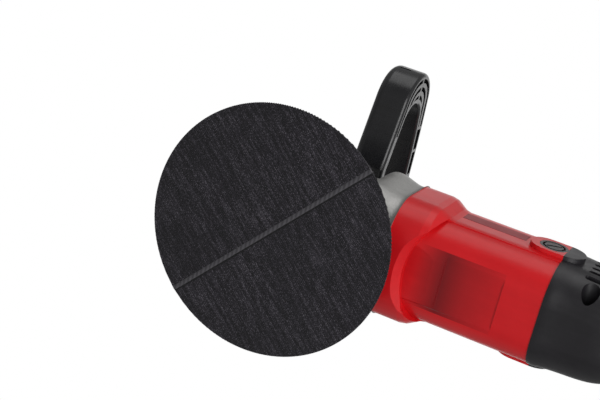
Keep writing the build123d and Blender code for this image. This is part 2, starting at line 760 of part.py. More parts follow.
with BuildPart() as brush_caps:
    for side in (-1, 1):
        face = Plane.XZ.offset(-side * (body_half + boss_proud))
        with BuildSketch(Plane.XZ.offset(-side * (body_half + boss_proud - cap_depth))):
            with Locations((brush_x, motor_axis_height)):
                Circle(cap_radius)
        extrude(amount=-side * cap_depth)
        with BuildSketch(face):
            with Locations((brush_x, motor_axis_height)):
                Circle(cap_radius - 1.8)
                Circle(cap_radius - 3.4, mode=Mode.SUBTRACT)
        extrude(amount=side * 1.6, mode=Mode.SUBTRACT)
        with BuildSketch(face):
            with Locations((brush_x, motor_axis_height)):
                Rectangle(2 * cap_radius - 8, 2.0, rotation=35)
        extrude(amount=side * 1.6, mode=Mode.SUBTRACT)
save(brush_caps.part, "brush_caps")

# ================================================================ motor
commutator_radius = 14.0
brush_width = 6.3
brush_tall = 11.0
brush_end = 27.0
holder_start = commutator_radius + 2.0
holder_end = body_half + boss_proud - cap_depth - 0.2
core_front = taper_back - 8.0
core_length = 50.0
core_radius = 21.0
air_gap = 0.6
stator_radius = body_half - housing_wall - 0.8
coil_length = 8.0
fan_front = head_back + 2.0
fan_radius = 33.5
fan_length = 11.0
rear_bearing_x = motor_back + 7.0
rear_bearing_outer = 11.0
rear_bearing_width = 8.0
sleeve_wall = 2.0

with BuildPart() as brushes:
    for side in (-1, 1):
        with BuildSketch(Plane.XZ.offset(-side * (commutator_radius + 0.1))):
            with Locations((brush_x, motor_axis_height)):
                Rectangle(brush_width, brush_tall)
        extrude(amount=-side * (brush_end - commutator_radius))
        with BuildSketch(across(brush_x - brush_width)):
            Circle(commutator_radius + running_gap)
        extrude(amount=2 * brush_width, mode=Mode.SUBTRACT)
save(brushes.part, "brushes")

with BuildPart() as brush_springs:
    for side in (-1, 1):
        with BuildSketch(Plane.XZ.offset(-side * (brush_end + 0.2))):
            with Locations((brush_x, motor_axis_height)):
                Circle(2.4)
                Circle(1.4, mode=Mode.SUBTRACT)
        extrude(amount=-side * (holder_end - brush_end - 0.2))
save(brush_springs.part, "brush_springs")

with BuildPart() as brush_holders:
    for side in (-1, 1):
        with BuildSketch(Plane.XZ.offset(-side * holder_start)):
            with Locations((brush_x, motor_axis_height)):
                Rectangle(brush_width + 4, brush_tall + 4)
                Rectangle(brush_width + 0.3, brush_tall + 0.3, mode=Mode.SUBTRACT)
        extrude(amount=-side * (holder_end - holder_start))
save(brush_holders.part, "brush_holders")

with BuildPart() as stator:
    with BuildSketch(across(core_front)):
        Circle(stator_radius)
        Circle(core_radius + air_gap, mode=Mode.SUBTRACT)
        for side in (-1, 1):
            with Locations((0, side * (stator_radius + 7))):
                Rectangle(22, 20, mode=Mode.SUBTRACT)
    extrude(amount=core_length)
save(stator.part, "stator")

with BuildPart() as field_coils:
    for x in (core_front - coil_length, core_front + core_length):
        with BuildSketch(across(x)):
            Circle(stator_radius - 4.5)
            Circle(core_radius + 2.5, mode=Mode.SUBTRACT)
            Rectangle(12, 90, mode=Mode.SUBTRACT)
        extrude(amount=coil_length)
save(field_coils.part, "field_coils")

with BuildPart() as armature_core:
    with BuildSketch(across(core_front)):
        Circle(core_radius)
        Circle(shaft_radius, mode=Mode.SUBTRACT)
        with PolarLocations(core_radius - 1.5, 12):
            Rectangle(4, 2.2, mode=Mode.SUBTRACT)
    extrude(amount=core_length)
save(armature_core.part, "armature_core")

with BuildPart() as armature_windings:
    for x in (core_front - coil_length, core_front + core_length):
        with BuildSketch(across(x)):
            Circle(core_radius - 3.5)
            Circle(shaft_radius + 2, mode=Mode.SUBTRACT)
        extrude(amount=coil_length)
save(armature_windings.part, "armature_windings")

with BuildPart() as commutator:
    with BuildSketch(across(brush_x - 9.5)):
        Circle(commutator_radius)
        Circle(shaft_radius, mode=Mode.SUBTRACT)
        with PolarLocations(commutator_radius, 24):
            Rectangle(2.4, 0.5, mode=Mode.SUBTRACT)
    extrude(amount=18.0)
save(commutator.part, "commutator")

with BuildPart() as fan:
    with BuildSketch(across(fan_front)):
        Circle(fan_radius)
        Circle(shaft_radius, mode=Mode.SUBTRACT)
    extrude(amount=1.8)
    with BuildSketch(across(fan_front)):
        Circle(shaft_radius + 5)
        Circle(shaft_radius, mode=Mode.SUBTRACT)
        with PolarLocations((fan_radius + shaft_radius + 8) / 2, 14):
            Rectangle(fan_radius - shaft_radius - 8, 1.6, rotation=24)
    extrude(amount=fan_length)
save(fan.part, "fan")

with BuildPart() as armature_shaft:
    with BuildSketch(across(spindle_x + gear_inner)):
        Circle(shaft_radius / 2)
    extrude(amount=pinion_back - spindle_x - gear_inner)
    with BuildSketch(across(pinion_back)):
        Circle(shaft_radius)
    extrude(amount=rear_bearing_x + rear_bearing_width - pinion_back)
save(armature_shaft.part, "armature_shaft")

baffle_front = fan_front + fan_length + 1.5
with BuildPart() as fan_baffle:
    with BuildSketch(across(baffle_front)):
        baffle_half = body_half - housing_wall - 0.2
        RectangleRounded(2 * baffle_half, 2 * baffle_half, body_corner - housing_wall - 0.2)
        Circle(24, mode=Mode.SUBTRACT)
    extrude(amount=2.0)
save(fan_baffle.part, "fan_baffle")

rear_bearing_plane = across(rear_bearing_x)
save(
    ball_bearing(rear_bearing_plane, shaft_radius + fit_gap, rear_bearing_outer, rear_bearing_width),
    "armature_bearing_rear",
)

with BuildPart() as bearing_sleeve:
    with BuildSketch(rear_bearing_plane):
        Circle(rear_bearing_outer + sleeve_wall)
        Circle(rear_bearing_outer, mode=Mode.SUBTRACT)
    extrude(amount=rear_bearing_width)
save(bearing_sleeve.part, "bearing_sleeve")

# ================================================================ rear housing and grip
grip_half = 20.5
grip_tall = 24.5
grip_start = motor_back + 72.0
trigger_front = grip_start + 2.0
trigger_length = 72.0
trigger_half = 8.0
trigger_pivot = (trigger_front + 5.0, motor_axis_height - 17.0)
pin_radius = 2.0
vent_start = motor_back + 19.0
vent_length = 34.0
vent_pitch = 8.75
vent_count = 5
vent_width = 4.0
screw_radius = 1.8
recess_radius = 6.0
screw_places = [
    (motor_back + 27.0, motor_axis_height - 29.0),
    (motor_back + 27.0, motor_axis_height + 27.0),
    (motor_back + 64.0, motor_axis_height - 19.0),
    (grip_back - 54.0, motor_axis_height + 12.0),
    (grip_back - 24.0, motor_axis_height - 22.0),
]
dial_radius = 12.0
dial_half = 4.0
dial_centre = (motor_back + 48.0, motor_axis_height + 26.5)
gland_radius = 8.0
gland_bore = 3.7
gland_height = motor_axis_height - 4.0
lock_radius = 5.0
lock_place = (grip_start + 34.0, motor_axis_height - 1.0)
lock_travel = 2.5

# (x, half width, half height, height of the middle), from the motor to the end of the grip
grip_stations = [
    (motor_back, body_half, body_half, motor_axis_height),
    (motor_back + 8, body_half - 0.2, body_half - 0.2, motor_axis_height),
    (motor_back + 32, body_half - 1.5, body_half - 0.8, motor_axis_height - 0.4),
    (motor_back + 52, body_half - 5.5, body_half - 3, motor_axis_height - 1.5),
    (grip_start, grip_half + 2.5, grip_tall + 3.5, motor_axis_height - 0.5),
    (grip_start + 24, grip_half, grip_tall + 0.5, motor_axis_height - 1),
    (grip_back - 66, grip_half, grip_tall, motor_axis_height - 1),
    (grip_back - 30, grip_half + 1, grip_tall + 2, motor_axis_height - 3),
    (grip_back - 12, grip_half + 3, grip_tall + 7, motor_axis_height - 6),
    (grip_back, grip_half + 1, grip_tall + 4, motor_axis_height - 6),
]


def grip_sections(wall, end):
    """The grip's sections (plane, width, height, corner radius), drawn in by wall, as far as end."""
    stations = [s for s in grip_stations if s[0] < end]
    stations.append((end, *grip_stations[-1][1:]))
    sections = []
    for x, half_y, half_z, middle in stations:
        share = min((x - motor_back) / (grip_start - motor_back), 1)
        corner = (body_corner / body_half + 0.17 * share) * min(half_y, half_z)
        sections.append((across(x, middle), 2 * (half_y - wall), 2 * (half_z - wall), corner - wall))
    return sections


with BuildPart() as grip_solid:
    for plane, width, height, corner in grip_sections(0.0, grip_back):
        with BuildSketch(plane):
            RectangleRounded(width, height, corner)
    loft()
    fillet(grip_solid.edges().group_by(Axis.X)[-1], 4.0)

# posts for the housing screws and the trigger's pivot, from wall to wall
with BuildPart() as posts:
    with BuildSketch(Plane.XZ.offset(-body_half)):
        with Locations(*screw_places):
            Circle(recess_radius)
        with Locations(screw_places[0]):
            Circle(recess_radius + 1.6)
        with Locations(trigger_pivot):
            Circle(pin_radius + 2.4)
    extrude(amount=2 * body_half)
    add(grip_solid.part, mode=Mode.INTERSECT)

with BuildPart() as rear_shell:
    add(grip_solid.part)
    for plane, width, height, corner in grip_sections(grip_wall, grip_back - 4):
        with BuildSketch(plane):
            RectangleRounded(width, height, corner)
    loft(mode=Mode.SUBTRACT)
    add(posts.part)
    # bulkhead that carries the rear motor bearing, with air ways through it
    with BuildSketch(across(rear_bearing_x + 1)):
        RectangleRounded(2 * body_half - 4, 2 * body_half - 4, body_corner - 2)
        Circle(rear_bearing_outer + sleeve_wall, mode=Mode.SUBTRACT)
        with PolarLocations(26, 6, start_angle=30):
            Rectangle(9, 12, mode=Mode.SUBTRACT)
    extrude(amount=5)
    for side in (-1, 1):
        # black tails of the brush bosses
        with BuildSketch(Plane.XZ.offset(-side * (body_half - housing_wall))):
            boss_outline()
            with Locations((motor_back - 30, motor_axis_height)):
                Rectangle(60, 60, mode=Mode.SUBTRACT)
        extrude(amount=-side * (housing_wall + boss_proud))
        # vents
        with BuildSketch(Plane.XZ.offset(-side * 24)):
            with Locations((vent_start + vent_length / 2, motor_axis_height - 2.5)):
                with GridLocations(0, vent_pitch, 1, vent_count):
                    SlotOverall(vent_length, vent_width)
        extrude(amount=-side * 20, mode=Mode.SUBTRACT)
    # screw holes, recesses for the heads, and the pivot's holes
    with BuildSketch(Plane.XZ.offset(-14)):
        with Locations(*screw_places):
            Circle(screw_radius)
        with Locations(trigger_pivot):
            Circle(pin_radius)
    extrude(amount=28, mode=Mode.SUBTRACT)
    with BuildSketch(Plane.XZ.offset(12)):
        with Locations(*screw_places):
            Circle(recess_radius - 1.5)
        with Locations(screw_places[0]):
            Circle(recess_radius)
    extrude(amount=30, mode=Mode.SUBTRACT)
    # mouths of the trigger, the dial, the lock button and the cable gland
    with BuildSketch(Plane.XY):
        with Locations((trigger_front + trigger_length / 2, 0)):
            Rectangle(trigger_length + 3, 2 * trigger_half + 1.4)
    extrude(amount=trigger_pivot[1] + 8, mode=Mode.SUBTRACT)
    with BuildSketch(Plane.XY.offset(dial_centre[1])):
        with Locations((dial_centre[0], 0)):
            Rectangle(2 * dial_radius + 1, 2 * dial_half + 1.2)
    extrude(amount=30, mode=Mode.SUBTRACT)
    with BuildSketch(Plane.XZ.offset(10)):
        with Locations(lock_place):
            Circle(lock_radius + running_gap)
    extrude(amount=20, mode=Mode.SUBTRACT)
    with BuildSketch(across(grip_back - 12, gland_height)):
        Circle(gland_radius)
    extrude(amount=14, mode=Mode.SUBTRACT)

with BuildPart() as rear_housing_left:
    add(rear_shell.part)
    split(bisect_by=Plane.XZ, keep=Keep.TOP)
save(rear_housing_left.part, "rear_housing_left")

with BuildPart() as rear_housing_right:
    add(rear_shell.part)
    split(bisect_by=Plane.XZ, keep=Keep.BOTTOM)
save(rear_housing_right.part, "rear_housing_right")

with BuildPart() as housing_screws:
    with BuildSketch(Plane.XZ.offset(12)):
        with Locations(*screw_places):
            Circle(recess_radius - 2.2)
    extrude(amount=2.2)
    with BuildSketch(Plane.XZ.offset(14.2)):
        with Locations(*screw_places):
            Rectangle(1.0, 5.0)
            Rectangle(5.0, 1.0)
    extrude(amount=-1.2, mode=Mode.SUBTRACT)
    with BuildSketch(Plane.XZ.offset(-13)):
        with Locations(*screw_places):
            Circle(screw_radius)
    extrude(amount=25)
save(housing_screws.part, "housing_screws")

# ================================================================ controls
trigger_top = trigger_pivot[1] + 3.0
trigger_low = motor_axis_height - 33.0
with BuildPart() as trigger:
    with BuildSketch(Plane.XZ.offset(-trigger_half)):
        with BuildLine():
            front = (trigger_front, trigger_pivot[1] + 4)
            nose = (trigger_front + 1, trigger_low + 7)
            dip = (trigger_front + trigger_length * 0.4, trigger_low + 1.2)
            heel = (trigger_front + trigger_length - 6, trigger_low)
            back = (trigger_front + trigger_length - 1, trigger_low + 6)
            back_top = (trigger_front + trigger_length - 1, trigger_top - 1)
            Line(front, nose)
            Spline(nose, dip, heel, tangents=[(1, -0.4), (1, -0.1)])
            Polyline(heel, back, back_top, (trigger_front + 14, trigger_top), front)
        make_face()
    extrude(amount=2 * trigger_half)
    with BuildSketch(Plane.XZ.offset(-trigger_half)):
        with Locations(trigger_pivot):
            Circle(pin_radius + fit_gap, mode=Mode.ADD)
    extrude(amount=2 * trigger_half, mode=Mode.SUBTRACT)
    low_edges = trigger.edges().filter_by(lambda e: e.center().Z < trigger_low + 4.5).filter_by(Axis.Y, reverse=True)
    fillet(low_edges, 1.6)
save(trigger.part, "trigger")

with BuildPart() as trigger_pin:
    with BuildSketch(Plane.XZ.offset(-13.5)):
        with Locations(trigger_pivot):
            Circle(pin_radius)
    extrude(amount=27)
save(trigger_pin.part, "trigger_pin")

switch_length = 40.0
switch_floor = trigger_top + 9.0
with BuildPart() as switch_body:
    with BuildSketch(Plane.XY.offset(switch_floor)):
        with Locations((trigger_front + trigger_length - switch_length / 2 - 4, 0)):
            RectangleRounded(switch_length, 17, 2)
    extrude(amount=20)
    with BuildSketch(Plane.XY.offset(switch_floor - 1.0)):
        with Locations((trigger_front + trigger_length - switch_length / 2 - 4, 0)):
            Circle(2.5)
    extrude(amount=1.0)
save(switch_body.part, "switch_body")

with BuildPart() as lock_button:
    with BuildSketch(Plane.XZ.offset(grip_half - 6)):
        with Locations(lock_place):
            Circle(lock_radius)
    extrude(amount=6 + 3.2)
    fillet(lock_button.edges().group_by(Axis.Y)[0], 1.0)
    with BuildSketch(Plane.XZ.offset(grip_half - 6)):
        with Locations(lock_place):
            Circle(lock_radius + 1.6)
    extrude(amount=1.6)
save(lock_button.part, "lock_button")

with BuildPart() as speed_dial:
    with BuildSketch(Plane.XZ.offset(-dial_half)):
        with Locations(dial_centre):
            Circle(dial_radius)
            Circle(2.0 + fit_gap, mode=Mode.SUBTRACT)
            with PolarLocations(dial_radius + 0.5, 24):
                Circle(1.0, mode=Mode.SUBTRACT)
    extrude(amount=2 * dial_half)
save(speed_dial.part, "speed_dial")

with BuildPart() as control_board:
    with BuildSketch(Plane.XZ.offset(-dial_half - 3.0)):
        with Locations((dial_centre[0] + 3, dial_centre[1] - 12)):
            Rectangle(26, 26)
    extrude(amount=1.6)
    with BuildSketch(Plane.XZ.offset(-dial_half - 3.0)):
        with Locations(dial_centre):
            Circle(2.0)
    extrude(amount=2 * dial_half + 3.0)
    with BuildSketch(Plane.XZ.offset(-dial_half - 3.0)):
        with Locations((dial_centre[0] - 2, dial_centre[1] - 17)):
            Rectangle(12, 10)
        with Locations((dial_centre[0] + 10, dial_centre[1] - 17)):
            Circle(4)
    extrude(amount=-9)
save(control_board.part, "control_board")

with BuildPart() as cable_gland:
    with BuildSketch(across(grip_back - 9, gland_height)):
        Circle(gland_radius + 2.5)
    extrude(amount=4.5)
    with BuildSketch(across(grip_back - 6, gland_height)):
        Circle(gland_radius - 0.2)
    extrude(amount=9)
    with BuildSketch(across(grip_back + 0.2, gland_height)):
        Circle(gland_radius + 2)
    extrude(amount=4)
    fillet(cable_gland.edges().group_by(Axis.X)[-1], 1.2)
    with BuildSketch(across(grip_back - 9, gland_height)):
        Circle(gland_bore)
    extrude(amount=20, mode=Mode.SUBTRACT)
save(cable_gland.part, "cable_gland")

clamp_x = grip_back - 26.0
with BuildPart() as cord_clamp:
    with BuildSketch(across(clamp_x, gland_height)):
        Rectangle(26, 12)
        Circle(gland_bore, mode=Mode.SUBTRACT)
    extrude(amount=9)
save(cord_clamp.part, "cord_clamp")
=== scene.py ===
import math

import bpy
from mathutils import Matrix, Vector, noise


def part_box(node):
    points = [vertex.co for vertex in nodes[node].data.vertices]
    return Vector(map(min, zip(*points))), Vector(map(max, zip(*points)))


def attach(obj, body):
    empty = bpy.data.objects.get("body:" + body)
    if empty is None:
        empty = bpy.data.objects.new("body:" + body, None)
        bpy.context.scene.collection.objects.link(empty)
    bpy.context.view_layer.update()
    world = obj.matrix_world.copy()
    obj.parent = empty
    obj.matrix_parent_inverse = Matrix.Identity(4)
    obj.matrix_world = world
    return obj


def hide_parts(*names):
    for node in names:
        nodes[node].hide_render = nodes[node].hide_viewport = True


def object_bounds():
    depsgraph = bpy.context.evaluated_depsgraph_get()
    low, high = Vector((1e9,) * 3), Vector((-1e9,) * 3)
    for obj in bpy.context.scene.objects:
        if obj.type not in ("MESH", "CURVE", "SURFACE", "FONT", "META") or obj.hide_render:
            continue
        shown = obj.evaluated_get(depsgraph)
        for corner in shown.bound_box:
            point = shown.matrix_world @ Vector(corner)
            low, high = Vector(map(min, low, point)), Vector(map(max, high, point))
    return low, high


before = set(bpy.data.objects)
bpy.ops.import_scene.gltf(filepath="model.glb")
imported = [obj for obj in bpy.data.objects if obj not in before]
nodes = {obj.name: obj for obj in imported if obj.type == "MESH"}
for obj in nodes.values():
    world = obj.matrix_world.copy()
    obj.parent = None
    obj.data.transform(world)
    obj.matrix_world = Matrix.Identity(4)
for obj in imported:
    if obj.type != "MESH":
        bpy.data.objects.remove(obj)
cad_low, cad_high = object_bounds()
bpy.ops.object.select_all(action="DESELECT")

# Camera: a long lens below the pad, rolled so that the motor runs down to the right.
# The lens takes in the whole pad and the D handle and cuts the tool off at the rear housing's vents.
aim = Vector((0.0119, -0.0254, 0.0132))
azimuth, elevation, roll = math.radians(46.0), math.radians(-63.25), math.radians(63.7)
camera_distance = 1.0
towards_camera = Vector((
    math.sin(azimuth) * math.cos(elevation), -math.cos(azimuth) * math.cos(elevation), math.sin(elevation),
))
camera_data = bpy.data.cameras.new("camera")
camera_data.lens = 86.9
camera_data.sensor_width = 36.0
camera = bpy.data.objects.new("camera", camera_data)
bpy.context.scene.collection.objects.link(camera)
camera.matrix_world = (
    Matrix.Translation(aim + towards_camera * camera_distance)
    @ (-towards_camera).to_track_quat("-Z", "Y").to_matrix().to_4x4()
    @ Matrix.Rotation(roll, 4, "Z")
)
bpy.context.scene.camera = camera

# Studio: a white surround that lights the tool more from above and from the near side than from below.
# What the lens sees past the tool stays plain white.
bpy.context.scene.view_settings.view_transform = "Standard"
studio = bpy.data.worlds.new("studio")
bpy.context.scene.world = studio
studio.use_nodes = True
sky = studio.node_tree
sky.nodes.clear()
direction = sky.nodes.new("ShaderNodeTexCoord")
rays = sky.nodes.new("ShaderNodeLightPath")
slope = sky.nodes.new("ShaderNodeVectorMath")
slope.operation = "DOT_PRODUCT"
slope.inputs[1].default_value = Vector((0.45, -0.35, -0.8)).normalized()
brightness = sky.nodes.new("ShaderNodeMapRange")
brightness.inputs["From Min"].default_value = -1.0
brightness.inputs["From Max"].default_value = 1.0
brightness.inputs["To Min"].default_value = 0.2
brightness.inputs["To Max"].default_value = 0.5
seen = sky.nodes.new("ShaderNodeBackground")
lit = sky.nodes.new("ShaderNodeBackground")
choose = sky.nodes.new("ShaderNodeMixShader")
out = sky.nodes.new("ShaderNodeOutputWorld")
seen.inputs["Color"].default_value = (1, 1, 1, 1)
lit.inputs["Color"].default_value = (1, 1, 1, 1)
sky.links.new(direction.outputs["Generated"], slope.inputs[0])
sky.links.new(slope.outputs["Value"], brightness.inputs["Value"])
sky.links.new(brightness.outputs["Result"], lit.inputs["Strength"])
sky.links.new(rays.outputs["Is Camera Ray"], choose.inputs[0])
sky.links.new(lit.outputs[0], choose.inputs[1])
sky.links.new(seen.outputs[0], choose.inputs[2])
sky.links.new(choose.outputs[0], out.inputs[0])

middle = (cad_low + cad_high) / 2
for name, place, size, power in (
    ("side_light", (-0.1, -1.3, 0.1), 1.0, 4.0),
    ("front_light", (0.9, -0.2, -0.9), 1.0, 11.0),
    ("top_light", (-0.3, 0.3, 1.4), 1.6, 6.0),
    ("back_light", (-0.9, 0.7, 0.3), 1.0, 3.0),
):
    lamp = bpy.data.lights.new(name, "AREA")
    lamp.size = size
    lamp.energy = power
    light = bpy.data.objects.new(name, lamp)
    bpy.context.scene.collection.objects.link(light)
    offset = Vector(place)
    facing_middle = (-offset).to_track_quat("-Z", "Y").to_matrix().to_4x4()
    light.matrix_world = Matrix.Translation(middle + offset) @ facing_middle

# Floor: a wide pale sheet far under the tool, below the camera as well, so it never hides the pad.
floor_depth = 1.6
bpy.ops.mesh.primitive_plane_add(size=12, location=(0, 0, -floor_depth))
floor = bpy.context.object
floor.name = "floor"
paint = bpy.data.materials.new("floor_paint")
paint.use_nodes = True
paint_shader = paint.node_tree.nodes["Principled BSDF"]
paint_shader.inputs["Base Color"].default_value = (0.8, 0.8, 0.8, 1)
paint_shader.inputs["Roughness"].default_value = 0.9
floor.data.materials.append(paint)
bpy.ops.object.select_all(action="DESELECT")


# ---------------------------------------------------------------------------------------------
# Hook face: a disc of black hook fabric in two halves, sewn together across the middle and glued
# to the foam. Fine ribs of hooks run square to the seam, whose welt stands a little proud.
def new_finish(name, **values):
    """A material whose shader has these constant values.

    Comes with a function that adds a node to it and one that links the finished colour, roughness
    and bump to the shader. A node's input is given by its name, or by its number as i0, i1 and so on."""
    material = bpy.data.materials.new(name)
    material.use_nodes = True
    tree = material.node_tree
    shader = tree.nodes["Principled BSDF"]
    for socket, value in values.items():
        shader.inputs[socket.replace("_", " ")].default_value = value

    def node(kind, settings=None, **inputs):
        made = tree.nodes.new("ShaderNode" + kind)
        for key, value in (settings or {}).items():
            setattr(made, key, value)
        for key, value in inputs.items():
            numbered = key[0] == "i" and key[1:].isdigit()
            socket = made.inputs[int(key[1:])] if numbered else made.inputs[key.replace("_", " ")]
            if isinstance(value, bpy.types.NodeSocket):
                tree.links.new(value, socket)
            else:
                socket.default_value = value
        return made

    def coat(colour, roughness=None, height=None, strength=1.0, depth=0.001):
        tree.links.new(colour, shader.inputs["Base Color"])
        if roughness is not None:
            tree.links.new(roughness, shader.inputs["Roughness"])
        if height is not None:
            bump = node("Bump", Strength=strength, Distance=depth, Height=height)
            tree.links.new(bump.outputs["Normal"], shader.inputs["Normal"])

    return material, node, coat


def ramp(node, source, *stops):
    """A colour ramp over source; each stop is (place, colour)."""
    made = node("ValToRGB", Fac=source)
    elements = made.color_ramp.elements
    while len(elements) < len(stops):
        elements.new(0.5)
    for element, (place, colour) in zip(elements, stops):
        element.position = place
        element.color = (*colour, 1) if len(colour) == 3 else colour
    return made.outputs["Color"]


def grey(value):
    """That value in red, green and blue."""
    return (value, value, value)


def maths(node, operation, *values):
    """The result of one operation on these values, such as "MULTIPLY"."""
    numbered = {f"i{i}": value for i, value in enumerate(values)}
    return node("Math", {"operation": operation}, **numbered).outputs[0]


def spread(node, source, low, high, **limits):
    """Maps source, which runs from 0 to 1 or between the limits given, to low up to high."""
    return node("MapRange", Value=source, To_Min=low, To_Max=high, **limits).outputs[0]


def band(node, place, middle, full, clear, strength):
    """A soft-edged stripe at middle: strength up to full away from it, and nothing from clear on."""
    away = maths(node, "ABSOLUTE", maths(node, "SUBTRACT", place, middle))
    edge = {"interpolation_type": "SMOOTHSTEP"}
    return node("MapRange", edge, i0=away, i1=full, i2=clear, i3=strength, i4=0.0).outputs[0]


def mixed(node, share, first, second):
    """The first colour with this share of the second."""
    return node("Mix", {"data_type": "RGBA"}, Factor=share, i6=first, i7=second).outputs[2]


rib_pitch = 0.00135
rib_height = 0.00013
welt_half = 0.0014  # half width of the seam's welt
welt_height = 0.0005
fold_edge = 0.0026  # beside the welt the fabric dips in a fold, up to here
fold_depth = 0.0003
stitch_pitch = 0.0021  # of the twist that the stitches give the welt
fine_edge = 0.004  # from here on the rows of the mesh spread out to the rim
skin_thickness = 0.0011
skin_inset = 0.00035  # the fabric lies this far inside the hook face, and only its welt stands out past it
seam_along = Vector((0.668, -0.744, 0.0)).normalized()
rib_along = Vector((-seam_along.y, seam_along.x, 0.0))
face_low, face_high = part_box("hook_face")
face_radius = (face_high.x - face_low.x) / 2
columns = 6 * round(2 * face_radius / rib_pitch)
seam_rows = [0, 0.00045, 0.0009, 0.0013, 0.0016, 0.002, 0.0025, 0.0032, fine_edge]
outer_rows = [fine_edge + (face_radius - fine_edge) * i / 10 for i in range(1, 11)]
half_rows = seam_rows + outer_rows
rows = [-r for r in reversed(half_rows[1:])] + half_rows
bpy.ops.mesh.primitive_grid_add(x_subdivisions=columns, y_subdivisions=len(rows) - 1, size=2)
hook_fabric = bpy.context.object
hook_fabric.name = "hook_fabric_face"
for vertex in hook_fabric.data.vertices:
    across = vertex.co.x * face_radius
    chord = math.sqrt(max(face_radius**2 - across**2, 0.0))
    row = rows[round((vertex.co.y + 1) / 2 * (len(rows) - 1))]
    near = min(abs(row), fine_edge)
    beyond = max(abs(row) - fine_edge, 0) * max(chord - fine_edge, 0) / (face_radius - fine_edge)
    along = math.copysign(min(near + beyond, chord), row)
    wander = 0.00025 * noise.noise(Vector((across * 90, along * 40, 3.1)))
    rib = math.cos(2 * math.pi * (across + wander) / rib_pitch)
    height = rib_height * rib * (0.75 + 0.5 * noise.noise(Vector((across * 300, along * 120, 0.7))))
    twist = 0.6 + 0.4 * math.cos(2 * math.pi * across / stitch_pitch + 1300 * along)
    if abs(along) < welt_half:
        height = welt_height * math.cos(along / welt_half * math.pi / 2) ** 0.6 * (0.85 + 0.15 * twist)
    elif welt_half < along < fold_edge:
        height = -fold_depth
    sag = 0.00012 * noise.noise(Vector((across * 14, along * 14, 9.0)))
    flat = seam_along * across + rib_along * along
    vertex.co = (flat.x, flat.y, face_low.z + skin_inset - height + sag)
bpy.context.view_layer.objects.active = hook_fabric
thickness = hook_fabric.modifiers.new("thickness", "SOLIDIFY")
thickness.thickness = skin_thickness
thickness.offset = -1.0
bpy.ops.object.mode_set(mode="EDIT")
bpy.ops.mesh.select_all(action="SELECT")
bpy.ops.mesh.remove_doubles(threshold=0.000001)
bpy.ops.mesh.normals_make_consistent(inside=False)
bpy.ops.object.mode_set(mode="OBJECT")
if sum(polygon.normal.z for polygon in hook_fabric.data.polygons) > 0:
    hook_fabric.data.flip_normals()
bpy.ops.object.modifier_apply(modifier="thickness")
bpy.ops.object.shade_smooth_by_angle(angle=math.radians(50))

hook_finish, node, coat = new_finish("hook_fabric", Roughness=0.92, Sheen_Weight=0.12, Sheen_Roughness=0.5)
place = node("TexCoord").outputs["Object"]
seam_angle = math.atan2(seam_along.y, seam_along.x)
turn = node("Mapping", Vector=place, Rotation=(0, 0, -seam_angle)).outputs["Vector"]
ribs = node("TexWave", {"wave_type": "BANDS", "bands_direction": "X"}, Vector=turn,
            Scale=2 * math.pi / (20 * rib_pitch), Distortion=1.6, Detail=2.0, Detail_Scale=1.2).outputs["Fac"]
squeeze = node("Mapping", Vector=turn, Scale=(1.0, 0.10, 1.0)).outputs["Vector"]
streaks = node("TexNoise", Vector=squeeze, Scale=480.0, Detail=2.0, Roughness=0.6).outputs["Fac"]
hooks = node("TexNoise", Vector=turn, Scale=1500.0, Detail=1.0, Roughness=0.6).outputs["Fac"]
patches = node("TexNoise", Vector=turn, Scale=22.0, Detail=3.0, Roughness=0.5).outputs["Fac"]
lines = ramp(node, streaks, (0.42, grey(0.0)), (0.66, grey(1.0)))
dots = ramp(node, hooks, (0.50, grey(0.0)), (0.66, grey(1.0)))
lit_ribs = maths(node, "MULTIPLY", spread(node, ribs, 0.35, 1.0), dots)
amount = maths(node, "MULTIPLY_ADD", lines, 0.45, lit_ribs)
shade = maths(node, "MULTIPLY", amount, spread(node, patches, 0.5, 1.25))
yarn = ramp(node, shade, (0.0, (0.0040, 0.0034, 0.0052)), (0.4, (0.019, 0.0165, 0.023)),
            (1.0, (0.115, 0.106, 0.125)))
stitches = node("TexWave", {"wave_type": "BANDS", "bands_direction": "DIAGONAL"}, Vector=turn,
                Scale=150.0, Distortion=1.5, Detail=2.0).outputs["Fac"]
thread = ramp(node, stitches, (0.1, (0.052, 0.049, 0.056)), (0.9, (0.092, 0.088, 0.098)))
from_seam = node("SeparateXYZ", Vector=turn).outputs["Y"]
# Painted shadow: a dark stripe on the fabric in the fold along one side of the welt.
painted_fold_shadow = band(node, from_seam, 0.0021, 0.0004, 0.0008, 0.85)
on_welt = band(node, from_seam, 0.0, 0.0012, 0.0017, 1.0)
yarn_with_painted_shadow = mixed(node, painted_fold_shadow, yarn, (0.003, 0.003, 0.0035, 1))
coat(mixed(node, on_welt, yarn_with_painted_shadow, thread), height=amount, strength=0.6, depth=0.0003)
hook_fabric.data.materials.append(hook_finish)
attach(hook_fabric, "pad")
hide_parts("hook_face")
bpy.ops.object.select_all(action="DESELECT")

# ---------------------------------------------------------------------------------------------
# Foam cushion: soft closed-cell foam moulded between the fabric and the hard plate. Its skin is
# matt and slightly pitted, its rim is rounded, and its flank is hollowed a little by the mould.
foam_low, foam_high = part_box("pad_cushion")
plate_low, plate_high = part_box("backing_plate")
rim = (foam_high.x - foam_low.x) / 2
plate_radius = (plate_high.x - plate_low.x) / 2
tall = foam_high.z - foam_low.z
